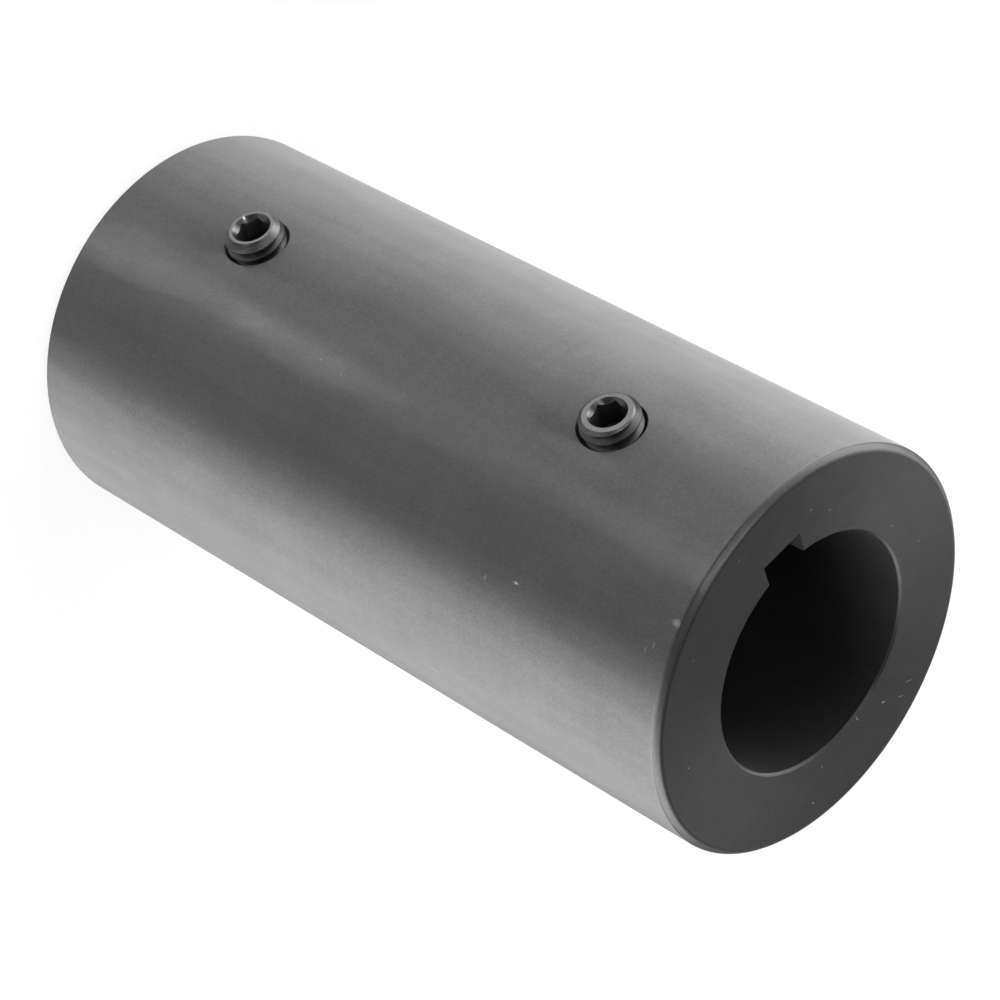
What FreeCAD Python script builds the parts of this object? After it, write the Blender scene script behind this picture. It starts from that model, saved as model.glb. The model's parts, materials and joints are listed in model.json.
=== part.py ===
import FreeCAD, Part
import math
import os
import Sketcher

# Rigid shaft coupling: a keyed steel sleeve that joins two shafts end to end.
# The sleeve stands on its end with its bore along +Z and the origin on the bore axis at the
# bottom face. The keyway and the two set screws over it are on the -Y side.

Vector = FreeCAD.Vector

# Driving dimensions in millimetres, angles in degrees
SIZES = {
    # turned sleeve
    "sleeve_diameter": 53.975,
    "sleeve_length": 114.3,
    "end_chamfer": 0.8,
    "bore_diameter": 31.75,
    "bore_chamfer": 0.3,
    # keyway for a square key, with its depth measured at the side of the slot
    "keyway_width": 6.35,
    "keyway_depth": 3.3,
    # tapped holes, one near each end, drawn at the thread's major diameter
    "hole_from_end": 25.0,
    "thread_diameter": 7.9375,
    "mouth_diameter": 9.25,
    # socket set screws with a cup point
    "screw_allowance": 0.04,
    "screw_length": 9.525,
    "cup_diameter": 4.2,
    "cup_land": 0.15,
    "drill_angle": 118.0,
    "socket_across_flats": 3.97,
    "socket_depth": 4.0,
    "socket_mouth_angle": 80.0,
    "pilot_allowance": 0.05,
    # for each screw: how far it stands out of the sleeve, how far its socket is turned, the
    # chamfer round its outer end and the diameter of its socket's countersink
    "upper_proud": 2.0,
    "upper_turn": 18.5,
    "upper_end_chamfer": 0.72,
    "upper_socket_mouth": 5.05,
    "lower_proud": 2.35,
    "lower_turn": 28.0,
    "lower_end_chamfer": 0.93,
    "lower_socket_mouth": 5.2,
    # how far a cutting outline runs on past the surface that it cuts
    "overcut": 1.0,
}

# Radii and places that several outlines share, as rules on the sheet
OUTER_RADIUS = "Sizes.sleeve_diameter / 2"
BORE_RADIUS = "Sizes.bore_diameter / 2"
HOLE_RADIUS = "Sizes.thread_diameter / 2"
SCREW_RADIUS = f"({HOLE_RADIUS} - Sizes.screw_allowance)"
KEYWAY_HALF = "Sizes.keyway_width / 2"
KEYWAY_FLOOR = f"(sqrt(({BORE_RADIUS}) ^ 2 - ({KEYWAY_HALF}) ^ 2) + Sizes.keyway_depth)"
LOWER_HOLE = "Sizes.hole_from_end"
UPPER_HOLE = "(Sizes.sleeve_length - Sizes.hole_from_end)"
NOUGHT = "0"

HEX_SIDES = 6

doc = FreeCAD.newDocument("rigid_shaft_coupling")


def make_sheet():
    """Spreadsheet of the driving dimensions, each with its alias."""
    sheet = doc.addObject("Spreadsheet::Sheet", "Sizes")
    for row, (alias, value) in enumerate(SIZES.items(), start=1):
        sheet.set(f"A{row}", alias)
        sheet.set(f"B{row}", str(value))
        sheet.setAlias(f"B{row}", alias)
    doc.recompute()


def make_body(label):
    """Empty body with its own label."""
    body = doc.addObject("PartDesign::Body", label)
    body.Label = label
    doc.recompute()
    return body


def origin_feature(body, role):
    """Plane or axis of the body's own origin, found by its role."""
    for feature in body.Origin.OriginFeatures:
        if feature.Role == role:
            return feature
    raise ValueError(role)


def outline_sketch(body, name, role, corners):
    """Closed outline on an origin plane, each corner held by a pair of rules."""
    sketch = body.newObject("Sketcher::SketchObject", name)
    sketch.AttachmentSupport = [(origin_feature(body, role), "")]
    sketch.MapMode = "FlatFace"
    count = len(corners)
    ring = [
        Vector(math.cos(math.tau * index / count), math.sin(math.tau * index / count), 0)
        for index in range(count)
    ]
    for index in range(count):
        sketch.addGeometry(Part.LineSegment(ring[index], ring[(index + 1) % count]))
    for index in range(count):
        following = (index + 1) % count
        sketch.addConstraint(Sketcher.Constraint("Coincident", index, 2, following, 1))
    for index, corner in enumerate(corners):
        for kind, rule in zip(("DistanceX", "DistanceY"), corner):
            place = sketch.addConstraint(Sketcher.Constraint(kind, -1, 1, index, 1, 1.0))
            sketch.setExpression(f"Constraints[{place}]", rule)
    doc.recompute()
    return sketch


def turn_outline(body, kind, name, sketch, axis):
    """Full turn of an outline about an axis, as a Revolution or a Groove."""
    feature = body.newObject(f"PartDesign::{kind}", name)
    feature.Profile = sketch
    feature.ReferenceAxis = axis
    feature.Angle = 360
    doc.recompute()
    return feature


def must_cut(body, before, name):
    """Stops unless the last cut took material away and left one solid."""
    if not body.Shape.Volume < before or len(body.Shape.Solids) != 1:
        raise RuntimeError(f"{name} cut nothing or split the piece")


def make_sleeve():
    """Turned sleeve with its keyway and its two tapped holes."""
    body = make_body("coupling_sleeve")
    bore_lip = f"{BORE_RADIUS} + Sizes.bore_chamfer"
    end_lip = f"{OUTER_RADIUS} - Sizes.end_chamfer"
    section = outline_sketch(
        body,
        "sleeve_section",
        "XZ_Plane",
        [
            (bore_lip, NOUGHT),
            (end_lip, NOUGHT),
            (OUTER_RADIUS, "Sizes.end_chamfer"),
            (OUTER_RADIUS, "Sizes.sleeve_length - Sizes.end_chamfer"),
            (end_lip, "Sizes.sleeve_length"),
            (bore_lip, "Sizes.sleeve_length"),
            (BORE_RADIUS, "Sizes.sleeve_length - Sizes.bore_chamfer"),
            (BORE_RADIUS, "Sizes.bore_chamfer"),
        ],
    )
    turn_outline(body, "Revolution", "turned_sleeve", section, (section, ["V_Axis"]))
    cut_keyway(body)
    for end, height in (("lower", LOWER_HOLE), ("upper", UPPER_HOLE)):
        cut_tapped_hole(body, end, height)
    return body


def cut_keyway(body):
    """Square slot broached along the whole bore on the -Y side."""
    before = body.Shape.Volume
    outline = outline_sketch(
        body,
        "keyway_outline",
        "XY_Plane",
        [
            (f"-{KEYWAY_HALF}", f"-{KEYWAY_FLOOR}"),
            (KEYWAY_HALF, f"-{KEYWAY_FLOOR}"),
            (KEYWAY_HALF, NOUGHT),
            (f"-{KEYWAY_HALF}", NOUGHT),
        ],
    )
    keyway = body.newObject("PartDesign::Pocket", "keyway")
    keyway.Profile = outline
    keyway.Reversed = True
    keyway.setExpression("Length", "Sizes.sleeve_length")
    doc.recompute()
    must_cut(body, before, "keyway")


def cut_tapped_hole(body, end, height):
    """Radial hole from the bore out to the -Y side, with a 90 degree countersunk mouth."""
    before = body.Shape.Volume
    chamfer = f"(Sizes.mouth_diameter / 2 - {HOLE_RADIUS})"
    outline = outline_sketch(
        body,
        f"{end}_hole_outline",
        "YZ_Plane",
        [
            (NOUGHT, height),
            (f"-({OUTER_RADIUS} + Sizes.overcut)", height),
            (
                f"-({OUTER_RADIUS} + Sizes.overcut)",
                f"{height} + Sizes.mouth_diameter / 2 + Sizes.overcut",
            ),
            (f"-({OUTER_RADIUS} - {chamfer})", f"{height} + {HOLE_RADIUS}"),
            (NOUGHT, f"{height} + {HOLE_RADIUS}"),
        ],
    )
    turn_outline(body, "Groove", f"{end}_tapped_hole", outline, (outline, ["Edge1"]))
    must_cut(body, before, f"{end} tapped hole")


def make_set_screw(end, height):
    """Socket set screw, modelled point down along its own +Z, then laid along -Y."""
    body = make_body(f"{end}_set_screw")
    cup_radius = "Sizes.cup_diameter / 2"
    cup_inside = f"({cup_radius} - Sizes.cup_land)"
    pilot_radius = "(Sizes.socket_across_flats / 2 - Sizes.pilot_allowance)"
    mouth_radius = f"Sizes.{end}_socket_mouth / 2"
    end_chamfer = f"Sizes.{end}_end_chamfer"
    mouth_slope = "tan(Sizes.socket_mouth_angle * 0.5 deg)"
    drill_slope = "tan(Sizes.drill_angle * 0.5 deg)"
    mouth_floor = f"(Sizes.screw_length - ({mouth_radius} - {pilot_radius}) / {mouth_slope})"
    socket_floor = "(Sizes.screw_length - Sizes.socket_depth)"
    section = outline_sketch(
        body,
        f"{end}_screw_section",
        "XZ_Plane",
        [
            (NOUGHT, f"{cup_inside} / {drill_slope}"),
            (cup_inside, NOUGHT),
            (cup_radius, NOUGHT),
            (SCREW_RADIUS, f"{SCREW_RADIUS} - {cup_radius}"),
            (SCREW_RADIUS, f"Sizes.screw_length - {end_chamfer}"),
            (f"{SCREW_RADIUS} - {end_chamfer}", "Sizes.screw_length"),
            (mouth_radius, "Sizes.screw_length"),
            (pilot_radius, mouth_floor),
            (pilot_radius, socket_floor),
            (NOUGHT, f"{socket_floor} - {pilot_radius} / {drill_slope}"),
        ],
    )
    turn_outline(body, "Revolution", f"{end}_screw_turned", section, (section, ["V_Axis"]))
    cut_socket(body, end)
    body.Placement = FreeCAD.Placement(Vector(), FreeCAD.Rotation(Vector(1, 0, 0), 90))
    body.setExpression(
        "Placement.Base.y", f"Sizes.screw_length - {OUTER_RADIUS} - Sizes.{end}_proud"
    )
    body.setExpression("Placement.Base.z", height)
    doc.recompute()
    return body


def cut_socket(body, end):
    """Hexagon socket broached down from the screw's outer end."""
    before = body.Shape.Volume
    corner_radius = "Sizes.socket_across_flats / sqrt(3)"
    corners = []
    for side in range(HEX_SIDES):
        angle = f"(Sizes.{end}_turn + {side} * 360 / {HEX_SIDES}) * 1 deg"
        corners.append((f"{corner_radius} * cos({angle})", f"{corner_radius} * sin({angle})"))
    outline = outline_sketch(body, f"{end}_socket_outline", "XY_Plane", corners)
    outline.setExpression("AttachmentOffset.Base.z", "Sizes.screw_length")
    socket = body.newObject("PartDesign::Pocket", f"{end}_socket")
    socket.Profile = outline
    socket.setExpression("Length", "Sizes.socket_depth")
    doc.recompute()
    must_cut(body, before, f"{end} socket")


def check_document():
    """Stops if any object of the document failed to recompute."""
    doc.recompute()
    for item in doc.Objects:
        if "Invalid" in item.State or "Error" in item.State:
            raise RuntimeError(f"{item.Label} failed")


def write_piece(body):
    """Writes one piece as a STEP file named after its label."""
    shape = body.Shape
    if shape.isNull() or not shape.isValid() or len(shape.Solids) != 1:
        raise RuntimeError(f"{body.Label} is not one valid solid")
    shape.exportStep(f"parts/{body.Label}.step")
    print(f"{body.Label}: {shape.Volume:.1f} mm3")


make_sheet()
pieces = [make_sleeve(), make_set_screw("upper", UPPER_HOLE), make_set_screw("lower", LOWER_HOLE)]
check_document()
os.makedirs("parts", exist_ok=True)
for piece in pieces:
    write_piece(piece)
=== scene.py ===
"""Rigid shaft coupling in black oxide: a keyed steel sleeve with two socket set screws.

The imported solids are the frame. The sleeve and the screws are modelled again here with their
real threads, in millimetres along each piece's own axis, and stand exactly where the frame
has them.
"""

import json
import logging
import math
from dataclasses import dataclass
from enum import Enum
from typing import Sequence

import bmesh
import bpy
from mathutils import Matrix, Quaternion, Vector


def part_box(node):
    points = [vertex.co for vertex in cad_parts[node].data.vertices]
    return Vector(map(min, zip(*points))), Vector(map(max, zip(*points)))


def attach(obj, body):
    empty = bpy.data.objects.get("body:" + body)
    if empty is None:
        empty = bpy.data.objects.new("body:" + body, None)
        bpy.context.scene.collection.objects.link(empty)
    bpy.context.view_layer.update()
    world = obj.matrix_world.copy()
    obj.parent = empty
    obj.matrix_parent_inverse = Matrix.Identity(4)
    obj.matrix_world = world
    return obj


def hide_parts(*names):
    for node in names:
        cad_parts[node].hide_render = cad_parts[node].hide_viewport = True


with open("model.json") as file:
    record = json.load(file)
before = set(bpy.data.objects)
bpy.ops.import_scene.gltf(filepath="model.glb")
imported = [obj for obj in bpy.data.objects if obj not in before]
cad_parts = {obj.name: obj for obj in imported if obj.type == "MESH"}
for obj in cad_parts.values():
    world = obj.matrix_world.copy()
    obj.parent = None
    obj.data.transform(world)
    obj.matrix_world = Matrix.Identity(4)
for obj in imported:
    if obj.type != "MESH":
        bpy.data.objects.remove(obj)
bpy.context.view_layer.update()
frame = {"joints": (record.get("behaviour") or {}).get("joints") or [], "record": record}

log = logging.getLogger("coupling")

MM = 0.001
MERGE_DISTANCE = 1e-4
SHARP_ANGLE = math.radians(28)
TURNS_OF_TRAVEL = 6

# Depth of the grooves of a 60 degree thread, as a share of its pitch
HOLE_THREAD_DEPTH = 0.5413
SCREW_THREAD_DEPTH = 0.6134

# Lean of a turned face from which it counts as flat, and from which it counts as a cone
FLAT_LEAN = math.sin(math.radians(75))
CONE_LEAN = math.sin(math.radians(21))

# Share of the coating's streaks, clouds, rubbed lines and grain in its changes of grey
STREAK_SHARE = 0.08
CLOUD_SHARE = 0.17
RUB_SHARE = 0.2
GRAIN_SHARE = 0.55

# Ends of the smooth steps that make streaks and clouds, grain, rubbed lines, flecks, and knocks with a
# painted highlight among them
CLOUD_FADE = (0.3, 0.7)
GRAIN_FADE = (0.25, 0.75)
RUB_FADE = (0.35, 0.7)
FLECK_FADE = (0.12, -0.02)
NICK_AND_GLINT_FADE = (1.7, 0.5)

# How far the tool marks run and how wide the clouds are, in millimetres
MARK_RUN = 14.0
CLOUD_WIDTH = 9.0

# How bare a fleck is, how much the grain and bare steel change the roughness, and how deep
# bare steel lies under the coating, as a share of the marks' height
FLECK_STRENGTH = 0.6
GRAIN_ROUGHNESS = 0.04
BARE_ROUGHNESS = -0.12
BARE_HEIGHT = -0.8

# Finishes of each piece, in the order of its material slots
SLEEVE_FINISHES = ("turned", "faced", "chamfer", "bore", "lip", "tapped")
SCREW_FINISHES = ("thread", "socket", "screw_end", "screw_rim", "screw_mouth")

Corner = tuple[float, float]
Colour = tuple[float, float, float]
Place = tuple[float, float, float]


# Shapes

def lay_outline(bm: bmesh.types.BMesh, corners: Sequence[Corner], closed: bool = True) -> list:
    """Lays a half section in the XZ plane as vertices and edges.

    Args:
        bm: Mesh that gets the outline.
        corners: Radius and height of each corner, in order.
        closed: Whether the last corner joins the first.

    Returns:
        The new vertices and edges.
    """
    verts = [bm.verts.new((radius, 0.0, height)) for radius, height in corners]
    following = verts[1:] + verts[:1] if closed else verts[1:]
    edges = [bm.edges.new(pair) for pair in zip(verts, following)]
    return verts + edges


def turned_solid(corners: Sequence[Corner], steps: int) -> bmesh.types.BMesh:
    """Spins a closed half section about +Z.

    Args:
        corners: Radius and height of each corner, in order.
        steps: Facets round the full turn.

    Returns:
        The closed solid of revolution, its faces pointing outwards.
    """
    bm = bmesh.new()
    bmesh.ops.spin(
        bm,
        geom=lay_outline(bm, corners),
        cent=(0, 0, 0),
        axis=(0, 0, 1),
        angle=math.tau,
        steps=steps,
        use_merge=True,
    )
    bmesh.ops.remove_doubles(bm, verts=bm.verts, dist=MERGE_DISTANCE)
    bmesh.ops.recalc_face_normals(bm, faces=bm.faces)
    return bm


def temporary(name: str, bm: bmesh.types.BMesh, slots: int) -> bpy.types.Object:
    """Puts a mesh in millimetres into the scene as an object, with empty material slots.

    Args:
        name: Name of the object and its mesh.
        bm: The mesh, which is freed.
        slots: Number of material slots.

    Returns:
        The new object.
    """
    mesh = bpy.data.meshes.new(name)
    bm.to_mesh(mesh)
    bm.free()
    for _ in range(slots):
        mesh.materials.append(None)
    piece = bpy.data.objects.new(name, mesh)
    bpy.context.scene.collection.objects.link(piece)
    return piece


def settle(piece: bpy.types.Object) -> None:
    """Applies the modifiers of a piece to its mesh."""
    bpy.context.view_layer.update()
    shown = piece.evaluated_get(bpy.context.evaluated_depsgraph_get())
    finished = bpy.data.meshes.new_from_object(shown)
    rough = piece.data
    piece.modifiers.clear()
    piece.data = finished
    bpy.data.meshes.remove(rough)


def machine(piece: bpy.types.Object, tool: bmesh.types.BMesh, operation: str = "DIFFERENCE") -> None:
    """Cuts a piece with a tool's shape, or keeps only what both hold.

    Args:
        piece: The piece, in millimetres.
        tool: Closed shape of the tool, in the same place and unit.
        operation: DIFFERENCE or INTERSECT.
    """
    cutter = temporary("cutter", tool, len(piece.data.materials))
    modifier = piece.modifiers.new("machining", "BOOLEAN")
    modifier.operation = operation
    modifier.solver = "EXACT"
    modifier.object = cutter
    settle(piece)
    spent = cutter.data
    bpy.data.objects.remove(cutter)
    bpy.data.meshes.remove(spent)


def paint_faces(bm: bmesh.types.BMesh, index: int) -> bmesh.types.BMesh:
    """Gives every face of a tool the material of the surface that it cuts."""
    for face in bm.faces:
        face.material_index = index
    return bm


def clean(mesh: bpy.types.Mesh) -> None:
    """Merges the doubled points and slivers that the cuts leave in a mesh in millimetres."""
    bm = bmesh.new()
    bm.from_mesh(mesh)
    bmesh.ops.remove_doubles(bm, verts=bm.verts, dist=MERGE_DISTANCE)
    bmesh.ops.dissolve_degenerate(bm, edges=bm.edges, dist=MERGE_DISTANCE)
    bm.to_mesh(mesh)
    bm.free()


def hand_over(piece: bpy.types.Object, finishes: Sequence[bpy.types.Material]) -> None:
    """Brings a finished piece to metres, shades it and puts its finishes on.

    Args:
        piece: The piece, in millimetres, in its place.
        finishes: One material for each slot.
    """
    mesh = piece.data
    clean(mesh)
    mesh.transform(Matrix.Scale(MM, 4))
    mesh.shade_smooth()
    mesh.set_sharp_from_angle(angle=SHARP_ANGLE)
    weighting = piece.modifiers.new("flat_faces_first", "WEIGHTED_NORMAL")
    weighting.keep_sharp = True
    settle(piece)
    for index, finish in enumerate(finishes):
        piece.data.materials[index] = finish
    triangles = sum(len(face.vertices) - 2 for face in piece.data.polygons)
    log.info("%s: %d triangles", piece.name, triangles)


@dataclass(frozen=True)
class Thread:
    """Right-hand thread of 60 degrees, as a rod that stands on +Z.

    Attributes:
        pitch: Distance from ridge to ridge.
        outer: Radius over the ridges.
        depth: How far the grooves go in.
        start: Height at which a groove's middle crosses the +X side.
        steps: Facets in each turn.
    """

    pitch: float
    outer: float
    depth: float
    start: float
    steps: int = 96

    def profile(self) -> list[Corner]:
        """One pitch of the ridge, from the middle of a groove to the middle of the next."""
        inner = self.outer - self.depth
        flank = self.depth * math.tan(math.radians(30))
        crest = self.pitch / 8
        root = (self.pitch - crest) / 2 - flank
        return [
            (inner, 0.0),
            (inner, root),
            (self.outer, root + flank),
            (self.outer, root + flank + crest),
            (inner, self.pitch - root),
            (inner, self.pitch),
        ]

    def rod(self, low: float, high: float) -> bmesh.types.BMesh:
        """Winds the thread and cuts it square at both ends.

        Args:
            low: Height of the lower end.
            high: Height of the upper end.

        Returns:
            The closed threaded rod.
        """
        first = math.floor((low - self.start) / self.pitch) - 1
        turns = math.ceil((high - low) / self.pitch) + 3
        base = self.start + first * self.pitch
        bm = bmesh.new()
        bmesh.ops.spin(
            bm,
            geom=lay_outline(bm, [(r, base + h) for r, h in self.profile()], closed=False),
            cent=(0, 0, 0),
            axis=(0, 0, 1),
            dvec=(0, 0, self.pitch / self.steps),
            angle=math.tau * turns,
            steps=self.steps * turns,
        )
        bmesh.ops.remove_doubles(bm, verts=bm.verts, dist=MERGE_DISTANCE)
        for height, up in ((low, -1), (high, 1)):
            bmesh.ops.bisect_plane(
                bm,
                geom=[*bm.verts, *bm.edges, *bm.faces],
                dist=MERGE_DISTANCE,
                plane_co=(0, 0, height),
                plane_no=(0, 0, up),
                clear_outer=True,
            )
        rims = [edge for edge in bm.edges if edge.is_boundary]
        bmesh.ops.holes_fill(bm, edges=rims, sides=0)
        bmesh.ops.recalc_face_normals(bm, faces=bm.faces)
        return bm


# Node graphs

class Graph:
    """Lays nodes in one node tree and joins their sockets."""

    def __init__(self, tree: bpy.types.NodeTree) -> None:
        """Keeps the tree and empties it."""
        self.tree = tree
        tree.nodes.clear()

    def node(self, kind: str, inputs: dict | None = None, **settings: object) -> bpy.types.Node:
        """Adds a node.

        Args:
            kind: Type of the node, without the ShaderNode in front.
            inputs: Value or linked socket for each input, by name or index.
            **settings: Properties of the node itself.

        Returns:
            The new node.
        """
        name = kind if kind.startswith("NodeGroup") else f"ShaderNode{kind}"
        node = self.tree.nodes.new(name)
        for key, value in settings.items():
            setattr(node, key, value)
        for key, value in (inputs or {}).items():
            if isinstance(value, bpy.types.NodeSocket):
                self.tree.links.new(value, node.inputs[key])
            else:
                node.inputs[key].default_value = value
        return node

    def math(self, operation: str, *values: object) -> bpy.types.NodeSocket:
        """Adds a Math node and returns its result."""
        return self.node("Math", dict(enumerate(values)), operation=operation).outputs[0]

    def fade(self, value: object, start: float, end: float) -> bpy.types.NodeSocket:
        """Adds a smooth step that goes from 0 at start to 1 at end, and returns it."""
        sockets = {"Value": value, "From Min": start, "From Max": end}
        return self.node("MapRange", sockets, interpolation_type="SMOOTHSTEP").outputs[0]

    def vector(self, operation: str, *values: object) -> bpy.types.Node:
        """Adds a Vector Math node and returns it."""
        return self.node("VectorMath", dict(enumerate(values)), operation=operation)

    def blend(self, factor: object, first: object, second: object) -> bpy.types.NodeSocket:
        """Mixes two colours and returns the result."""
        mix = self.node("Mix", data_type="RGBA")
        for key, value in (("Factor_Float", factor), ("A_Color", first), ("B_Color", second)):
            socket = next(s for s in mix.inputs if s.identifier == key)
            if isinstance(value, bpy.types.NodeSocket):
                self.tree.links.new(value, socket)
            else:
                socket.default_value = value
        return next(s for s in mix.outputs if s.identifier == "Result_Color")


def effect_group(name: str, inputs: dict[str, object], outputs: Sequence[str]) -> tuple:
    """Starts a shared effect as a node group.

    Args:
        name: Name of the group.
        inputs: Default of each input; a tuple makes a vector socket.
        outputs: Names of the float outputs.

    Returns:
        The group's graph, its input node and its output node.
    """
    tree = bpy.data.node_groups.new(name, "ShaderNodeTree")
    for label, value in inputs.items():
        kind = "NodeSocketVector" if isinstance(value, tuple) else "NodeSocketFloat"
        socket = tree.interface.new_socket(name=label, in_out="INPUT", socket_type=kind)
        socket.default_value = value
    for label in outputs:
        tree.interface.new_socket(name=label, in_out="OUTPUT", socket_type="NodeSocketFloat")
    graph = Graph(tree)
    return graph, graph.node("NodeGroupInput"), graph.node("NodeGroupOutput")


def tool_marks_group() -> bpy.types.NodeTree:
    """Fine lines that a cutting tool leaves: X runs across them, Y and Z along them."""
    graph, given, result = effect_group(
        "tool_marks",
        {"Place": (0.0, 0.0, 0.0), "Spacing": 0.2, "Run": 8.0},
        ("Height", "Streak"),
    )
    across = graph.math("DIVIDE", 1.0, given.outputs["Spacing"])
    along = graph.math("DIVIDE", 1.0, given.outputs["Run"])
    stretch = graph.node("CombineXYZ", {"X": across, "Y": along, "Z": along}).outputs[0]
    place = graph.vector("MULTIPLY", given.outputs["Place"], stretch).outputs[0]
    fine = graph.node("TexNoise", {"Vector": place, "Scale": 1.0, "Detail": 2.0}).outputs[0]
    broad = graph.node("TexNoise", {"Vector": place, "Scale": 0.17, "Detail": 3.0}).outputs[0]
    graph.tree.links.new(fine, result.inputs["Height"])
    graph.tree.links.new(graph.fade(broad, *CLOUD_FADE), result.inputs["Streak"])
    return graph.tree


def oxide_cloud_group() -> bpy.types.NodeTree:
    """Soft patches in an oxide coating, a fine grain, and rubbed lines along the Z axis."""
    graph, given, result = effect_group(
        "oxide_cloud", {"Place": (0.0, 0.0, 0.0), "Patch": 9.0}, ("Cloud", "Grain", "Rub")
    )
    place = given.outputs["Place"]
    scale = graph.math("DIVIDE", 1.0, given.outputs["Patch"])
    patches = graph.node("TexNoise", {"Vector": place, "Scale": scale, "Detail": 4.0}).outputs[0]
    grain = graph.node("TexNoise", {"Vector": place, "Scale": 3.0, "Detail": 3.0}).outputs[0]
    drawn = graph.vector("MULTIPLY", place, (0.4, 0.4, 0.035)).outputs[0]
    rub = graph.node("TexNoise", {"Vector": drawn, "Scale": 1.0, "Detail": 3.0}).outputs[0]
    graph.tree.links.new(graph.fade(patches, *CLOUD_FADE), result.inputs["Cloud"])
    graph.tree.links.new(graph.fade(grain, *GRAIN_FADE), result.inputs["Grain"])
    graph.tree.links.new(graph.fade(rub, *RUB_FADE), result.inputs["Rub"])
    return graph.tree


def bare_flecks_group() -> bpy.types.NodeTree:
    """Tiny spots where the coating is knocked through to bright steel."""
    graph, given, result = effect_group(
        "bare_flecks", {"Place": (0.0, 0.0, 0.0), "Apart": 5.0, "Radius": 0.2}, ("Mask",)
    )
    place = given.outputs["Place"]
    apart = given.outputs["Apart"]
    cells = graph.node("TexVoronoi", {"Vector": place, "Scale": graph.math("DIVIDE", 1.0, apart)})
    distance = graph.math("MULTIPLY", cells.outputs["Distance"], apart)
    wobble = graph.node("TexNoise", {"Vector": place, "Scale": 6.0}).outputs[0]
    uneven = graph.math("MULTIPLY_ADD", wobble, 0.25, distance)
    reach = graph.math("SUBTRACT", uneven, given.outputs["Radius"])
    graph.tree.links.new(graph.fade(reach, *FLECK_FADE), result.inputs["Mask"])
    return graph.tree


def nick_and_glint_group() -> bpy.types.NodeTree:
    """One bright mark at a given place, longest along a given direction: a knocked spot, and at the
    upper chamfer's edge a painted highlight.
    """
    graph, given, result = effect_group(
        "nick_and_glint",
        {
            "Place": (0.0, 0.0, 0.0),
            "Centre": (0.0, 0.0, 0.0),
            "Along": (0.0, 0.0, 1.0),
            "Length": 1.0,
            "Width": 0.3,
            "Wobble": 0.5,
        },
        ("Mask",),
    )
    offset = graph.vector("SUBTRACT", given.outputs["Place"], given.outputs["Centre"]).outputs[0]
    run = graph.vector("DOT_PRODUCT", offset, given.outputs["Along"]).outputs["Value"]
    reach = graph.vector("DOT_PRODUCT", offset, offset).outputs["Value"]
    aside = graph.math("MAXIMUM", graph.math("SUBTRACT", reach, graph.math("MULTIPLY", run, run)), 0.0)
    long_part = graph.math("POWER", graph.math("DIVIDE", run, given.outputs["Length"]), 2.0)
    wide_part = graph.math("DIVIDE", graph.math("SQRT", aside), given.outputs["Width"])
    total = graph.math("ADD", long_part, graph.math("POWER", wide_part, 2.0))
    uneven = graph.math("MULTIPLY_ADD", given.outputs["Wobble"], 1.4, total)
    graph.tree.links.new(graph.fade(uneven, *NICK_AND_GLINT_FADE), result.inputs["Mask"])
    return graph.tree


class Marks(Enum):
    """Which way a surface was cut, and so which way its fine lines run."""

    TURNED = "round the Z axis, spaced along it"
    FACED = "round the Z axis, spaced outwards"
    CHASED = "round the Y axis"


@dataclass(frozen=True)
class NickAndGlint:
    """A knocked spot or short scratch that shows; the one at the upper chamfer's edge is partly a
    painted highlight.

    Attributes:
        centre: Its middle, in millimetres.
        along: Direction of its longest side.
        length: Half its length, in millimetres.
        width: Half its width, in millimetres.
        strength: How far it goes through to bright steel, from 0 to 1.
    """

    centre: Place
    along: Place
    length: float
    width: float
    strength: float


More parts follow.
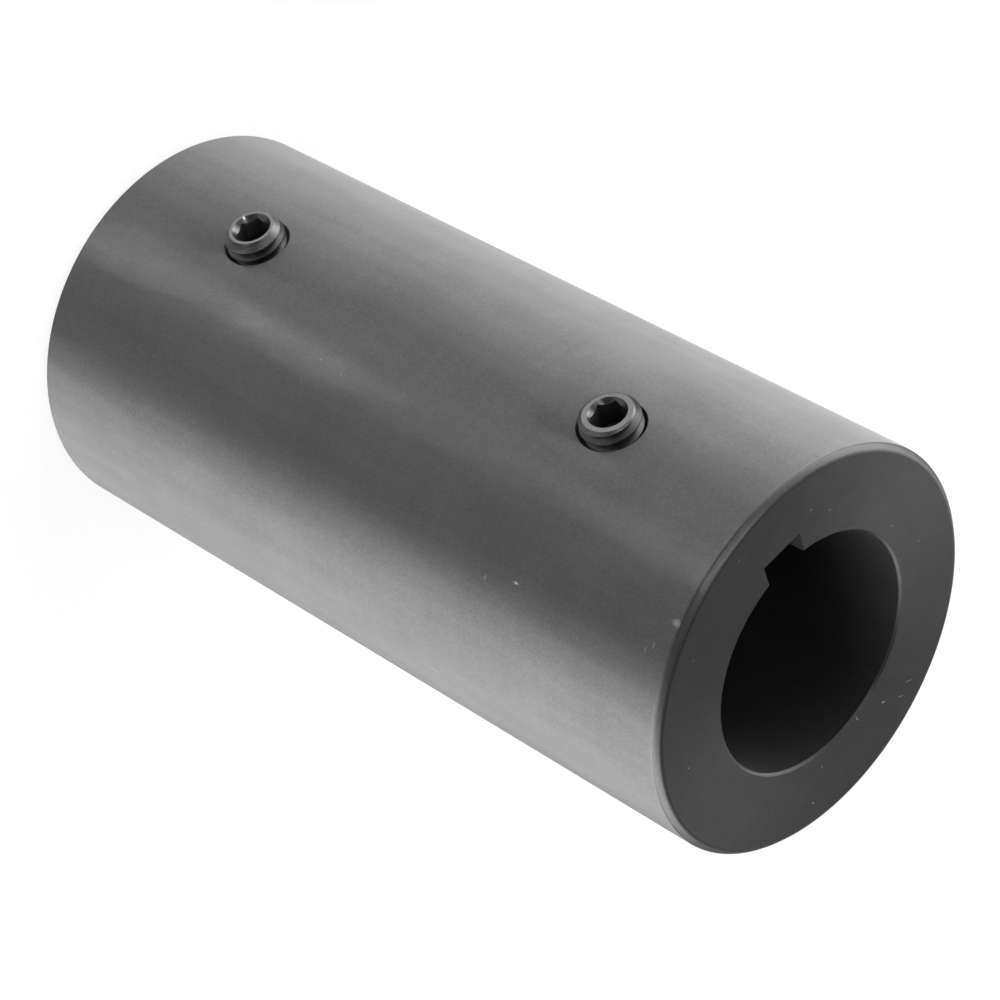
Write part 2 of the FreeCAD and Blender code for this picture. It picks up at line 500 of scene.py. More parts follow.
@dataclass(frozen=True)
class Oxide:
    """Black oxide on cut steel.

    Attributes:
        name: Name of the finish.
        marks: Which way the tool marks run.
        tone: Grey of the coating; on the end face, the bore and the screws' threads it is set darker
            as painted shade.
        roughness: Roughness of the coating.
        stretch: How much the marks draw the shine out across themselves.
        spacing: Distance between the marks, in millimetres.
        depth: Height of the marks, in millimetres.
        metal: How much of a metal's gloss comes through the coating, from 0 to 1.
        fleck_apart: Distance between bare flecks, in millimetres.
        fleck_radius: Radius of the largest flecks, in millimetres.
        nicks_and_glints: Knocks that stand out; one on the side is partly a painted highlight.
        bare: Colour of bright steel.
        uneven: How much the coating's grey varies, as a share of it.
        grit: Height of the grain, as a share of the marks' height.
        edge: How much of the shine is left where the surface is seen nearly edge on.
        specular: Level of the gloss that isn't a metal's.
    """

    name: str
    marks: Marks
    tone: float
    roughness: float
    stretch: float
    spacing: float = 0.12
    depth: float = 0.002
    metal: float = 1.0
    fleck_apart: float = 7.0
    fleck_radius: float = 0.05
    nicks_and_glints: tuple[NickAndGlint, ...] = ()
    bare: Colour = (0.55, 0.54, 0.52)
    uneven: float = 0.15
    grit: float = 0.6
    edge: float = 1.0
    specular: float = 0.5

    def shade(self, share: float) -> tuple[float, float, float, float]:
        """The coating's grey, lighter or darker by a share of it."""
        return (*(self.tone * (1 + share),) * 3, 1.0)

    def mark_place(self, graph: Graph, place: bpy.types.NodeSocket) -> bpy.types.NodeSocket:
        """Coordinates whose X runs across the tool marks."""
        parts = graph.node("SeparateXYZ", {0: place}).outputs
        x, y, z = parts["X"], parts["Y"], parts["Z"]
        if self.marks is Marks.TURNED:
            across, first, second = z, x, y
        elif self.marks is Marks.FACED:
            flat = graph.vector("MULTIPLY", place, (1.0, 1.0, 0.0)).outputs[0]
            across, first, second = graph.vector("LENGTH", flat).outputs["Value"], x, y
        else:
            across, first, second = y, x, z
        return graph.node("CombineXYZ", {"X": across, "Y": first, "Z": second}).outputs[0]

    def material(self, effects: dict[str, bpy.types.NodeTree]) -> bpy.types.Material:
        """Builds the finish.

        Args:
            effects: The shared effects, by name.

        Returns:
            The material.
        """
        made = bpy.data.materials.new(self.name)
        made.use_nodes = True
        graph = Graph(made.node_tree)
        coordinates = graph.node("TexCoord").outputs["Object"]
        place = graph.vector("SCALE", coordinates)
        place.inputs["Scale"].default_value = 1 / MM
        place = place.outputs[0]

        def effect(name: str, inputs: dict) -> bpy.types.Node:
            """Places one of the shared effects."""
            return graph.node("Group", inputs, node_tree=effects[name])

        lines = effect(
            "tool_marks",
            {"Place": self.mark_place(graph, place), "Spacing": self.spacing, "Run": MARK_RUN},
        ).outputs
        cloud = effect("oxide_cloud", {"Place": place, "Patch": CLOUD_WIDTH}).outputs
        flecks = effect(
            "bare_flecks", {"Place": place, "Apart": self.fleck_apart, "Radius": self.fleck_radius}
        ).outputs["Mask"]
        bare = graph.math("MULTIPLY", flecks, FLECK_STRENGTH)
        wobble = graph.node("TexNoise", {"Vector": place, "Scale": 4.0}).outputs[0]
        # Each mark lays bare steel; the mark at the upper chamfer's edge paints a highlight this way.
        for nick_and_glint in self.nicks_and_glints:
            knock_and_glint = effect(
                "nick_and_glint",
                {
                    "Place": place,
                    "Centre": nick_and_glint.centre,
                    "Along": nick_and_glint.along,
                    "Length": nick_and_glint.length,
                    "Width": nick_and_glint.width,
                    "Wobble": wobble,
                },
            ).outputs["Mask"]
            bare = graph.math("MAXIMUM", bare, graph.math("MULTIPLY", knock_and_glint, nick_and_glint.strength))
        tone = graph.math("MULTIPLY", lines["Streak"], STREAK_SHARE)
        tone = graph.math("MULTIPLY_ADD", cloud["Cloud"], CLOUD_SHARE, tone)
        tone = graph.math("MULTIPLY_ADD", cloud["Rub"], RUB_SHARE, tone)
        tone = graph.math("MULTIPLY_ADD", cloud["Grain"], GRAIN_SHARE, tone)
        coat = graph.blend(tone, self.shade(-self.uneven), self.shade(self.uneven))
        colour = graph.blend(bare, coat, (*self.bare, 1.0))
        waver = graph.math("SUBTRACT", cloud["Grain"], 0.5)
        waver = graph.math("MULTIPLY_ADD", waver, GRAIN_ROUGHNESS, self.roughness)
        roughness = graph.math("MULTIPLY_ADD", bare, BARE_ROUGHNESS, waver)
        height = graph.math("MULTIPLY_ADD", cloud["Grain"], self.grit, lines["Height"])
        height = graph.math("MULTIPLY_ADD", bare, BARE_HEIGHT, height)
        relief = graph.node("Bump", {"Height": height, "Strength": 1.0, "Distance": self.depth * MM})
        axis = "Y" if self.marks is Marks.CHASED else "Z"
        tangent = graph.node("Tangent", direction_type="RADIAL", axis=axis).outputs[0]
        shader = graph.node(
            "BsdfPrincipled",
            {
                "Base Color": colour,
                "Metallic": self.metal,
                "Roughness": roughness,
                "Normal": relief.outputs[0],
                "Anisotropic": self.stretch,
                "Anisotropic Rotation": 0.25,
                "Specular IOR Level": self.specular,
                "Specular Tint": (*(self.edge,) * 3, 1.0),
                "Tangent": tangent,
            },
        )
        graph.node("OutputMaterial", {"Surface": shader.outputs[0]})
        return made


# The object

class Cut(Enum):
    """Surfaces of the sleeve, numbered as its material slots."""

    SIDE = 0
    FACE = 1
    CHAMFER = 2
    BORE = 3
    LIP = 4
    TAPPED = 5


class Screwed(Enum):
    """Surfaces of a set screw, numbered as its material slots."""

    THREAD = 0
    SOCKET = 1
    END = 2
    RIM = 3
    MOUTH = 4


@dataclass(frozen=True)
class ScrewPlace:
    """One tapped hole, and how its set screw stands in it.

    Attributes:
        end: Which hole it is, upper or lower.
        turn: How far the screw's socket is turned, in degrees.
        groove: Depth below the screw's outer end at which a groove crosses its +X side.
        chamfer: Chamfer round the screw's outer end.
        mouth: Radius of the countersink of its socket.
    """

    end: str
    turn: float
    groove: float
    chamfer: float
    mouth: float

    @property
    def node(self) -> str:
        """Name of the screw's node in the frame."""
        return f"{self.end}_set_screw"

    @property
    def height(self) -> float:
        """Height of the hole's axis on the sleeve, in millimetres."""
        low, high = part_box(self.node)
        return (low.z + high.z) / 2 / MM

    @property
    def point(self) -> float:
        """Distance of the screw's point from the sleeve's axis, in millimetres."""
        return -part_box(self.node)[1].y / MM

    @property
    def top(self) -> float:
        """Distance of the screw's outer end from the sleeve's axis, in millimetres."""
        return -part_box(self.node)[0].y / MM


@dataclass
class Coupling:
    """What the pieces share, in millimetres.

    Attributes:
        radius: Outside radius of the sleeve.
        length: Length of the sleeve.
        bore: Radius of the bore.
        pitch: Pitch of the thread.
        hole: Radius of the tapped holes over the thread.
        seats: The two tapped holes with their screws.
    """

    radius: float
    length: float
    bore: float
    pitch: float
    hole: float = 7.9375 / 2
    seats: tuple[ScrewPlace, ...] = (
        ScrewPlace("upper", turn=18.5, groove=0.94, chamfer=0.72, mouth=2.525),
        ScrewPlace("lower", turn=28.0, groove=0.25, chamfer=0.93, mouth=2.6),
    )

    @classmethod
    def from_frame(cls) -> "Coupling":
        """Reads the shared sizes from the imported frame."""
        _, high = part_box("coupling_sleeve")
        bore = next(m for m in frame["record"]["mounts"] if m["name"] == "top_bore")
        travel = frame["joints"][0]["range_m"]
        return cls(
            radius=high.x / MM,
            length=high.z / MM,
            bore=bore["dims"]["r_mm"],
            pitch=(travel[1] - travel[0]) / TURNS_OF_TRAVEL / MM,
        )

    def thread(self, seat: ScrewPlace, outer: float, depth: float) -> Thread:
        """The thread of a hole or of its screw, wound so that the two mesh.

        Args:
            seat: The hole and its screw.
            outer: Radius over the ridges.
            depth: Depth of the grooves, as a share of the pitch.

        Returns:
            The thread.
        """
        return Thread(self.pitch, outer, depth * self.pitch, start=seat.top - seat.groove)

    def on_side(self, angle: float, height: float) -> Place:
        """Point on the sleeve's side, at an angle from -Y towards +X."""
        turn = math.radians(angle)
        return (self.radius * math.sin(turn), -self.radius * math.cos(turn), height)

    def on_top(self, angle: float, radius: float) -> Place:
        """Point on the sleeve's upper end face, at an angle from -Y towards +X."""
        turn = math.radians(angle)
        return (radius * math.sin(turn), -radius * math.cos(turn), self.length)


@dataclass
class Sleeve:
    """The turned sleeve, with its bore, keyway and two tapped holes.

    Attributes:
        shared: Sizes that the pieces share.
        end_chamfer: Chamfer round each end.
        bore_chamfer: Chamfer at each end of the bore.
        keyway_width: Width of the keyway.
        keyway_depth: Depth of the keyway at its side.
        mouth_radius: Radius of the countersink over each tapped hole.
        worn: How far the tumbled corners of the chamfers are rounded in.
        steps: Facets round the sleeve.
        cone_steps: Facets round each countersink.
        margin: How far a cutting tool runs on past the surface.
    """

    shared: Coupling
    end_chamfer: float = 0.8
    bore_chamfer: float = 0.3
    keyway_width: float = 6.35
    keyway_depth: float = 3.3
    mouth_radius: float = 4.625
    worn: float = 0.3
    steps: int = 720
    cone_steps: int = 192
    margin: float = 1.0

    def half_section(self) -> list[Corner]:
        """Corners of the turned section, with rings on the side either side of each hole."""
        radius, length, bore = self.shared.radius, self.shared.length, self.shared.bore
        lip = bore + self.bore_chamfer
        edge = radius - self.end_chamfer
        reach = self.mouth_radius + self.margin
        rings = sorted(seat.height + way * reach for seat in self.shared.seats for way in (-1, 1))
        return [
            (lip, 0.0),
            (edge, 0.0),
            (radius, self.end_chamfer),
            *((radius, height) for height in rings),
            (radius, length - self.end_chamfer),
            (edge, length),
            (lip, length),
            (bore, length - self.bore_chamfer),
            *((bore, height) for height in reversed(rings)),
            (bore, self.bore_chamfer),
        ]

    def surface(self, face: bmesh.types.BMFace) -> Cut:
        """Which cut a face of the turned blank belongs to."""
        lean = abs(face.normal.z)
        inside = face.calc_center_median().xy.length < (self.shared.radius + self.shared.bore) / 2
        if lean > FLAT_LEAN:
            return Cut.FACE
        if lean > CONE_LEAN:
            return Cut.LIP if inside else Cut.CHAMFER
        return Cut.BORE if inside else Cut.SIDE

    def is_outer_corner(self, place: Vector, edge: float) -> bool:
        """Whether a point lies on one of the corner circles of the two end chamfers."""
        from_end = min(place.z, self.shared.length - place.z)
        on_face = from_end < MERGE_DISTANCE and abs(place.xy.length - edge) < 10 * MERGE_DISTANCE
        return on_face or abs(from_end - self.end_chamfer) < 10 * MERGE_DISTANCE

    def blank(self) -> bmesh.types.BMesh:
        """The turned blank with its chamfers worn round, each face marked by its cut."""
        bm = turned_solid(self.half_section(), self.steps)
        edge = self.shared.radius - self.end_chamfer
        worn = [
            rim
            for rim in bm.edges
            if abs(rim.verts[0].co.z - rim.verts[1].co.z) < MERGE_DISTANCE
            and self.is_outer_corner(rim.verts[0].co, edge)
            and self.is_outer_corner(rim.verts[1].co, edge)
        ]
        bmesh.ops.bevel(
            bm, geom=worn, offset=self.worn, segments=4, profile=0.5, affect="EDGES", material=-1
        )
        bmesh.ops.recalc_face_normals(bm, faces=bm.faces)
        for face in bm.faces:
            face.material_index = self.surface(face).value
        return bm

    def keyway_tool(self) -> bmesh.types.BMesh:
        """The broach's slot, from the axis out to the keyway's floor."""
        half = self.keyway_width / 2
        floor = math.sqrt(self.shared.bore**2 - half**2) + self.keyway_depth
        bm = bmesh.new()
        bmesh.ops.create_cube(bm, size=1.0)
        size = (self.keyway_width, floor, self.shared.length + 2 * self.margin)
        bmesh.ops.scale(bm, vec=size, verts=bm.verts)
        bmesh.ops.translate(bm, vec=(0, -floor / 2, self.shared.length / 2), verts=bm.verts)
        return paint_faces(bm, Cut.BORE.value)

    def across(self, bm: bmesh.types.BMesh, height: float) -> bmesh.types.BMesh:
        """Lays a tool that stands on +Z along -Y, at a height on the sleeve."""
        bm.transform(Matrix.Translation((0, 0, height)) @ Matrix.Rotation(math.radians(90), 4, "X"))
        return paint_faces(bm, Cut.TAPPED.value)

    def tap(self, seat: ScrewPlace) -> bmesh.types.BMesh:
        """The threaded tool that runs from the empty bore out past the side."""
        inside = self.shared.bore - 3 * self.margin
        thread = self.shared.thread(seat, self.shared.hole, HOLE_THREAD_DEPTH)
        return self.across(thread.rod(inside, self.shared.radius + self.margin), seat.height)

    def countersink(self, seat: ScrewPlace) -> bmesh.types.BMesh:
        """The 90 degree cone that opens the mouth of a tapped hole."""
        tip = self.shared.radius - self.mouth_radius
        top = self.shared.radius + self.margin
        cone = turned_solid([(0.0, tip), (top - tip, top), (0.0, top)], self.cone_steps)
        return self.across(cone, seat.height)

    def build(self, finishes: Sequence[bpy.types.Material]) -> bpy.types.Object:
        """Turns, broaches and taps the sleeve and puts it in the frame.

        Args:
            finishes: One material for each cut.

        Returns:
            The finished sleeve.
        """
        piece = temporary("keyed_sleeve", self.blank(), len(Cut))
        machine(piece, self.keyway_tool())
        for seat in self.shared.seats:
            machine(piece, self.tap(seat))
            machine(piece, self.countersink(seat))
        hand_over(piece, finishes)
        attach(piece, "sleeve")
        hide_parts("coupling_sleeve")
        return piece


@dataclass
class SetScrew:
    """A socket set screw with a cup point, in its tapped hole.

    Attributes:
        shared: Sizes that the pieces share.
        seat: The hole that it is in.
        allowance: How much smaller its radius is than the hole's.
        cup_radius: Radius of the point's ring.
        cup_land: Width of the point's ring.
        across_flats: Size of the hexagon socket.
        socket_depth: Depth of the hexagon.
        mouth_angle: Angle of the socket's countersink, in degrees.
        pilot_allowance: How much smaller the drilled hole is than the hexagon.
        drill_angle: Angle of the drill's point, in degrees.
        steps: Facets round the screw.
        margin: How far a cutting tool runs on past the surface.
    """

    shared: Coupling
    seat: ScrewPlace
    allowance: float = 0.04
    cup_radius: float = 2.1
    cup_land: float = 0.15
    across_flats: float = 3.97
    socket_depth: float = 4.0
    mouth_angle: float = 80.0
    pilot_allowance: float = 0.05
    drill_angle: float = 118.0
    steps: int = 128
    margin: float = 0.5

    def blank(self) -> bmesh.types.BMesh:
        """The turned screw before threading, wider than the thread so that its cones trim it."""
        point, top = self.seat.point, self.seat.top
        radius = self.shared.hole - self.allowance
        wide = radius + self.margin
        slope = math.tan(math.radians(self.drill_angle / 2))
        steep = math.tan(math.radians(self.mouth_angle / 2))
        hollow = self.cup_radius - self.cup_land
        pilot = self.across_flats / 2 - self.pilot_allowance
        floor = top - self.socket_depth
        corners = [
            (0.0, point + hollow / slope),
            (hollow, point),
            (self.cup_radius, point),
            (wide, point + wide - self.cup_radius),
            (wide, top - self.seat.chamfer - self.margin),
            (radius - self.seat.chamfer, top),
            (self.seat.mouth, top),
            (pilot, top - (self.seat.mouth - pilot) / steep),
            (pilot, floor),
            (0.0, floor - pilot / slope),
        ]
        bm = turned_solid(corners, self.steps)
        for face in bm.faces:
            face.material_index = self.surface(face).value
        return bm

    def surface(self, face: bmesh.types.BMFace) -> Screwed:
        """Which surface a face of the turned blank belongs to."""
        rise = face.normal.z
        depth = self.seat.top - face.calc_center_median().z
        inside = face.calc_center_median().xy.length < self.seat.mouth
        if rise > FLAT_LEAN:
            return Screwed.END
        if depth < 2 * self.margin and rise > CONE_LEAN:
            return Screwed.MOUTH if inside else Screwed.RIM
        return Screwed.SOCKET if inside else Screwed.THREAD

    def broach(self) -> bmesh.types.BMesh:
        """The hexagon tool, from the socket's floor out past the end."""
        corner = self.across_flats / math.sqrt(3)
        depth = self.socket_depth + self.margin
        bm = bmesh.new()
        bmesh.ops.create_cone(
            bm, cap_ends=True, segments=6, radius1=corner, radius2=corner, depth=depth
        )
        turned = Matrix.Rotation(math.radians(self.seat.turn - 30), 4, "Z")
        middle = Matrix.Translation((0, 0, self.seat.top + self.margin - depth / 2))
        bm.transform(middle @ turned)
        return paint_faces(bm, Screwed.SOCKET.value)

    def build(self, finishes: Sequence[bpy.types.Material]) -> bpy.types.Object:
        """Threads, chamfers and broaches the screw and puts it in the frame.

        Args:
            finishes: One material for each surface.

        Returns:
            The finished screw.
        """
        radius = self.shared.hole - self.allowance
        thread = self.shared.thread(self.seat, radius, SCREW_THREAD_DEPTH)
        rod = thread.rod(self.seat.point - self.margin, self.seat.top + self.margin)
        piece = temporary(f"{self.seat.end}_threaded_screw", rod, len(Screwed))
        machine(piece, self.blank(), "INTERSECT")
        machine(piece, self.broach())
        place = Matrix.Translation((0, 0, self.seat.height))
        piece.data.transform(place @ Matrix.Rotation(math.radians(90), 4, "X"))
        hand_over(piece, finishes)
        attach(piece, f"{self.seat.end}_screw")
        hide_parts(self.seat.node)
        return piece


# The studio

@dataclass(frozen=True)
class Softbox:
    """A square lamp that faces the object.

    Attributes:
        name: Name of the lamp.
        azimuth: Direction from the object, in degrees from -Y towards +X.
        elevation: Height above the floor, in degrees.
        distance: Distance from the object's middle, in metres.
        size: Length of its sides, in metres.
        brightness: Brightness of its surface, where 1 is white.
        spread: Angle that a grid over it lets the light out in, in degrees.
        aim: How far above the object's middle it points, in metres.
    """

    name: str
    azimuth: float
    elevation: float
    distance: float
    size: float
    brightness: float
    spread: float = 180.0
    aim: float = 0.0

    def hang(self, middle: Vector) -> None:
        """Makes the lamp and points it at the object."""
        lamp = bpy.data.lights.new(self.name, "AREA")
        lamp.size = self.size
        lamp.energy = self.brightness * math.pi * self.size**2
        if self.spread < 180:
            half = math.radians(self.spread / 2)
            lamp.spread = 2 * half
            lamp.energy *= 1 - half / math.tan(half)
        hung = bpy.data.objects.new(self.name, lamp)
        away = direction(self.azimuth, self.elevation) * self.distance
        back = away - Vector((0, 0, self.aim))
        hung.matrix_world = facing(middle + away, back.normalized(), 0.0)
        bpy.context.scene.collection.objects.link(hung)


@dataclass(frozen=True)
class Glow:
    """A soft patch of light in the room, wider than it is tall.

    Attributes:
        azimuth: Direction of its middle, in degrees from -Y towards +X.
        elevation: Height of its middle above the floor, in degrees.
        core: Half width of its even middle, in degrees.
        reach: Half width at which it has faded away, in degrees.
        brightness: Brightness of its middle, where 1 is white.
        flatness: How many times wider than tall it is.
    """

    azimuth: float
    elevation: float
    core: float
    reach: float
    brightness: float
    flatness: float = 2.5

    def lay(
        self, graph: Graph, azimuth: bpy.types.NodeSocket, elevation: bpy.types.NodeSocket
    ) -> bpy.types.NodeSocket:
        """Adds the patch to the room.

        Args:
            graph: The room's node graph.
            azimuth: Azimuth of the direction looked in, in radians.
            elevation: Its elevation, in radians.

        Returns:
            The patch's brightness in that direction.
        """
        turn = graph.math("SUBTRACT", azimuth, math.radians(self.azimuth))
        aside = graph.math("WRAP", turn, math.pi, -math.pi)
        rise = graph.math("SUBTRACT", elevation, math.radians(self.elevation))
        raised = graph.math("MULTIPLY", rise, self.flatness)
        offset = graph.node("CombineXYZ", {"X": aside, "Y": raised}).outputs[0]
        away = graph.vector("LENGTH", offset).outputs["Value"]
        share = graph.fade(away, math.radians(self.reach), math.radians(self.core))
        return graph.math("MULTIPLY", share, self.brightness)


def direction(azimuth: float, elevation: float) -> Vector:
    """Unit vector away from the object, for angles in degrees."""
    turn, rise = math.radians(azimuth), math.radians(elevation)
    level = math.cos(rise)
    return Vector((math.sin(turn) * level, -math.cos(turn) * level, math.sin(rise)))


def facing(place: Vector, away: Vector, roll: float) -> Matrix:
    """Placement of a camera or lamp whose back is turned away from the object.

    Args:
        place: Where it stands.
        away: Direction from the object to it.
        roll: Turn about that direction, in degrees.

    Returns:
        The placement as a matrix.
    """
    upright = away.to_track_quat("Z", "Y")
    rolled = Quaternion(away, math.radians(roll)) @ upright
    return Matrix.Translation(place) @ rolled.to_matrix().to_4x4()


@dataclass(frozen=True)
class Studio:
    """The pale floor, soft lamps and camera of the photograph.

    Attributes:
        azimuth: Camera's direction from the object, in degrees from -Y towards +X.
        elevation: Camera's height above the floor, in degrees.
        roll: Camera's turn about its line of sight, in degrees.
        distance: Camera's distance from its target, in metres.
        target: Point that the camera looks at, in metres.
        lens: Focal length in millimetres on a sensor 36 mm wide.
        sky: Grey of the room round the floor.
        floor_radius: Radius of the floor, in metres.
        floor_sides: Sides of the round floor.
        floor_drop: How far the floor lies under the object, in metres.
        floor_grey: Grey of the floor under the lamps.
        floor_white: Share of plain white that the floor shows to the eye and in reflections.
        glows: The broad soft lights of the room.
        lamps: The small lamps, which draw a line along the sleeve and glints in the sockets.
    """

    azimuth: float = 27.29
    elevation: float = 37.57
    roll: float = 118.77
    distance: float = 0.46211
    target: tuple[float, float, float] = (0.00067, 0.00285, 0.06004)
    lens: float = 128.73
    sky: float = 0.25
    floor_radius: float = 8.0
    floor_sides: int = 96
    floor_drop: float = 0.05 * MM
    floor_grey: float = 0.80
    floor_white: float = 0.85
    glows: tuple[Glow, ...] = (
        Glow(124, 15, 22, 64, 9.3),
        Glow(-90, 10, 0, 100, 8.9),
        Glow(0, 62, 30, 90, 0.5),
    )
    lamps: tuple[Softbox, ...] = (
        Softbox("side_softbox", 12, 51, 1.2, 0.07, 62.0),
        Softbox("top_softbox", -27, 70, 1.2, 0.12, 50.0),
        Softbox("foot_lamp", 14.6, 51, 1.2, 0.03, 2300.0, spread=4.2, aim=-0.094),
        Softbox("head_lamp", 17, 52, 1.2, 0.05, 450.0, spread=2.6, aim=0.032),
    )

    def set_camera(self) -> None:
        """Stands the camera where the photograph was taken from."""
        data = bpy.data.cameras.new("camera")
        data.lens = self.lens
        data.sensor_width = 36
        data.clip_start = 0.01
        camera = bpy.data.objects.new("camera", data)
        away = direction(self.azimuth, self.elevation)
        place = Vector(self.target) + away * self.distance
        camera.matrix_world = facing(place, away, self.roll)
        bpy.context.scene.collection.objects.link(camera)
        bpy.context.scene.camera = camera

    def floor_material(self) -> bpy.types.Material:
        """Pale matt floor that shows white to the eye and in reflections, with its shadow."""
        made = bpy.data.materials.new("pale_floor")
        made.use_nodes = True
        graph = Graph(made.node_tree)
        grey = (self.floor_grey,) * 3
        matt = graph.node("BsdfDiffuse", {"Color": (*grey, 1)}).outputs[0]
        white = graph.node("Emission", {"Color": (1, 1, 1, 1), "Strength": 1.0}).outputs[0]
        path = graph.node("LightPath").outputs
        seen = graph.math("MAXIMUM", path["Is Camera Ray"], path["Is Transmission Ray"])
        seen = graph.math("MAXIMUM", seen, path["Is Glossy Ray"])
        share = graph.math("MULTIPLY", seen, self.floor_white)
        mixed = graph.node("MixShader", {0: share, 1: matt, 2: white})
        graph.node("OutputMaterial", {"Surface": mixed.outputs[0]})
        return made

    def lay_floor(self) -> None:
        """Lays the floor just under the object."""
        bm = bmesh.new()
        bmesh.ops.create_circle(
            bm, cap_ends=True, segments=self.floor_sides, radius=self.floor_radius
        )
        bmesh.ops.translate(bm, vec=(0, 0, -self.floor_drop), verts=bm.verts)
        mesh = bpy.data.meshes.new("floor")
        bm.to_mesh(mesh)
        bm.free()
        mesh.materials.append(self.floor_material())
        floor = bpy.data.objects.new("floor", mesh)
        bpy.context.scene.collection.objects.link(floor)

    def set_room(self) -> None:
        """Fills the room round the floor with plain grey and the soft lights."""
        world = bpy.data.worlds.new("room")
        world.use_nodes = True
        graph = Graph(world.node_tree)
        parts = graph.node("SeparateXYZ", {0: graph.node("TexCoord").outputs["Generated"]}).outputs
        azimuth = graph.math("ARCTAN2", parts["X"], graph.math("MULTIPLY", parts["Y"], -1.0))
        elevation = graph.math("ARCSINE", parts["Z"])
        light = self.sky
        for glow in self.glows:
            light = graph.math("ADD", light, glow.lay(graph, azimuth, elevation))
        sky = graph.node("Background", {"Color": (1, 1, 1, 1), "Strength": light})
        graph.node("OutputWorld", {"Surface": sky.outputs[0]})
        bpy.context.scene.world = world

    def build(self) -> None:
        """Sets up the whole studio."""
        self.set_camera()
        self.lay_floor()
        self.set_room()
        middle = Vector(self.target)
        for lamp in self.lamps:
            lamp.hang(middle)
        bpy.context.scene.view_settings.view_transform = "Standard"


def side_nicks_and_glint(shared: Coupling) -> tuple[NickAndGlint, ...]:
    """Knocks and short scratches on the sleeve's side, with a painted highlight at the edge of its
    upper chamfer.
    """
    along = (0.0, 0.0, 1.0)
    around = (0.75, 0.66, 0.0)
    marks = (
        (48.1, 89.2, along, 0.5, 0.2, 1.0),
        # Partly a knocked spot and partly a painted highlight: a soft bright patch at the upper
        # chamfer's edge, where the chamfer's shine ends.
        (37.0, 113.2, along, 1.2, 0.6, 0.45),
        (50.9, 84.4, around, 0.6, 0.12, 0.45),
        (44.7, 111.1, around, 0.7, 0.12, 0.5),
        (46.5, 110.2, around, 0.4, 0.12, 0.4),
        (37.4, 72.9, along, 0.15, 0.12, 0.4),
        (52.9, 100.2, along, 0.15, 0.12, 0.4),
        (29.2, 46.0, around, 0.5, 0.1, 0.45),
        (21.5, 47.0, around, 0.3, 0.12, 0.5),
        (22.4, 51.1, around, 0.6, 0.1, 0.5),
        (91.0, 74.5, along, 1.6, 0.1, 0.3),
    )
    return tuple(NickAndGlint(shared.on_side(angle, height), *rest) for angle, height, *rest in marks)


def face_nicks(shared: Coupling) -> tuple[NickAndGlint, ...]:
    """Scratches and specks on the sleeve's upper end face."""
    curved = (-0.86, 0.51, 0.0)
    outwards = (-0.21, 0.98, 0.0)
    dot = (1.0, 0.0, 0.0)
    marks = (
        (-145.5, 22.8, curved, 0.9, 0.1, 0.3),
        (-151.0, 22.7, curved, 0.7, 0.1, 0.3),
        (-155.6, 19.7, curved, 0.35, 0.14, 0.8),
        (-167.8, 16.7, outwards, 0.7, 0.12, 0.35),
        (-15.7, 21.2, dot, 0.2, 0.12, 0.3),
        (-25.3, 19.7, dot, 0.16, 0.12, 0.35),
        (-68.1, 18.1, dot, 0.2, 0.12, 0.25),
        (-88.4, 20.2, dot, 0.16, 0.12, 0.25),
        (15.0, 24.1, dot, 0.2, 0.14, 0.25),
        (46.0, 23.1, curved, 0.3, 0.12, 0.2),
        (85.0, 22.2, dot, 0.2, 0.12, 0.3),
        (163.2, 23.1, dot, 0.18, 0.14, 0.6),
        (168.3, 18.4, dot, 0.2, 0.12, 0.35),
        (142.6, 21.1, dot, 0.16, 0.12, 0.2),
    )
    return tuple(NickAndGlint(shared.on_top(angle, radius), *rest) for angle, radius, *rest in marks)


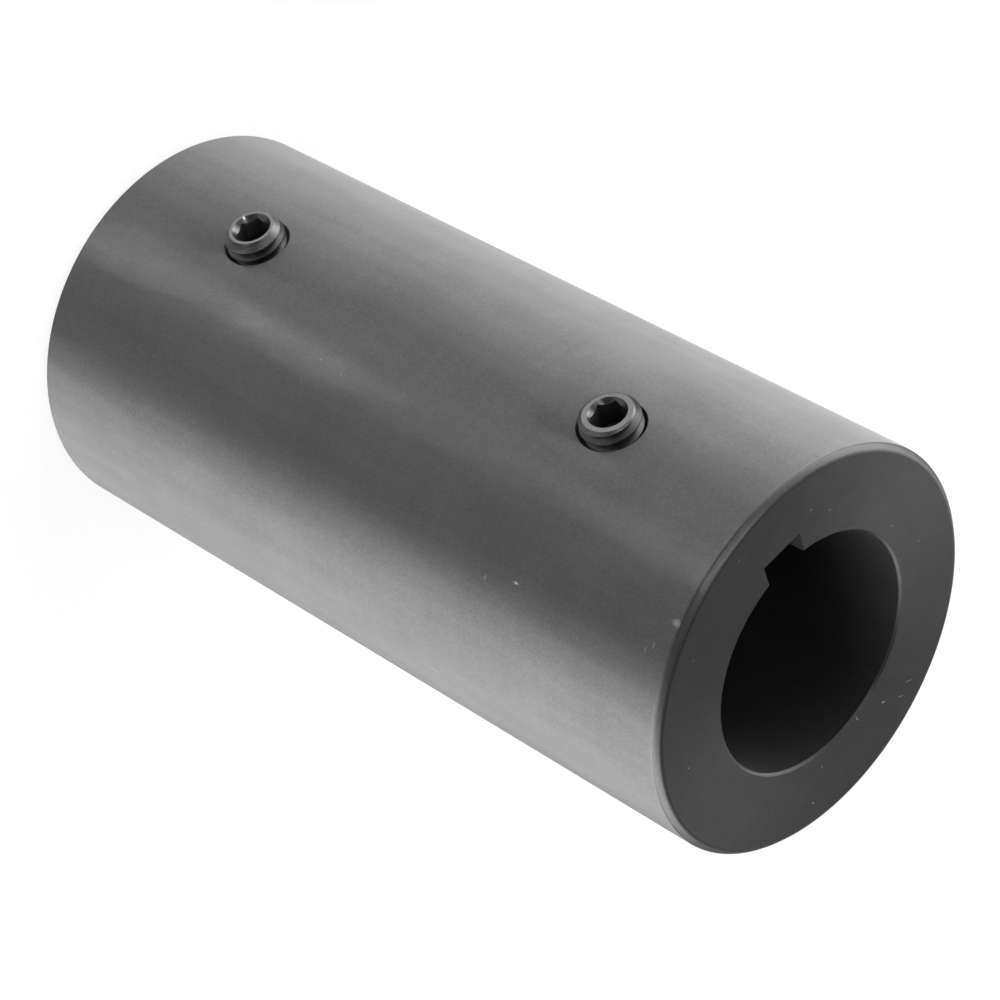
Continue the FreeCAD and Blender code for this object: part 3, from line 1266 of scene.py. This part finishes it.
def dress(shared: Coupling) -> dict[str, bpy.types.Material]:
    """Makes the finishes.

    Args:
        shared: Sizes that the pieces share.

    Returns:
        Each finish by name.
    """
    effects = {
        "tool_marks": tool_marks_group(),
        "oxide_cloud": oxide_cloud_group(),
        "bare_flecks": bare_flecks_group(),
        "nick_and_glint": nick_and_glint_group(),
    }
    finishes = (
        Oxide(
            name="turned_oxide",
            marks=Marks.TURNED,
            tone=0.146,
            roughness=0.45,
            stretch=1.0,
            spacing=0.22,
            depth=0.003,
            nicks_and_glints=side_nicks_and_glint(shared),
            uneven=0.22,
            grit=1.2,
            edge=0.9,
        ),
        # The end face's grey, far darker than the side's, is painted shade for the face, which turns
        # away from the lamps.
        Oxide(
            name="faced_oxide",
            marks=Marks.FACED,
            tone=0.021,
            roughness=0.50,
            stretch=0.5,
            spacing=0.20,
            nicks_and_glints=face_nicks(shared),
            uneven=0.4,
        ),
        Oxide("chamfer_oxide", Marks.TURNED, 0.062, 0.42, 0.3, spacing=0.15, edge=0.5),
        # The bore's grey, far darker than the side's, is painted shade for the inside of the sleeve
        # and the walls of its keyway.
        Oxide(
            name="bore_oxide",
            marks=Marks.TURNED,
            tone=0.013,
            roughness=0.75,
            stretch=0.0,
            spacing=0.20,
            depth=0.003,
            metal=0.0,
            uneven=0.25,
            specular=0.08,
        ),
        Oxide("lip_oxide", Marks.TURNED, 0.036, 0.45, 0.3, spacing=0.15, edge=0.6),
        Oxide("tapped_oxide", Marks.CHASED, 0.070, 0.45, 0.2, spacing=0.20),
        # The threads' grey, darker than the screws' ends, is painted shade for the threads inside the
        # tapped holes.
        Oxide("thread_oxide", Marks.CHASED, 0.055, 0.34, 0.3),
        Oxide("socket_oxide", Marks.CHASED, 0.030, 0.50, 0.0, metal=0.5),
        Oxide("screw_end_oxide", Marks.CHASED, 0.220, 0.34, 0.3, depth=0.003),
        Oxide("screw_rim_oxide", Marks.CHASED, 0.085, 0.40, 0.3),
        Oxide("screw_mouth_oxide", Marks.CHASED, 0.068, 0.30, 0.3),
    )
    return {finish.name: finish.material(effects) for finish in finishes}


def main() -> None:
    """Builds the coupling and its studio."""
    logging.basicConfig(level=logging.INFO, format="%(message)s")
    shared = Coupling.from_frame()
    looks = dress(shared)
    Sleeve(shared).build([looks[f"{name}_oxide"] for name in SLEEVE_FINISHES])
    for seat in shared.seats:
        SetScrew(shared, seat).build([looks[f"{name}_oxide"] for name in SCREW_FINISHES])
    Studio().build()


if __name__ == "__main__":
    main()
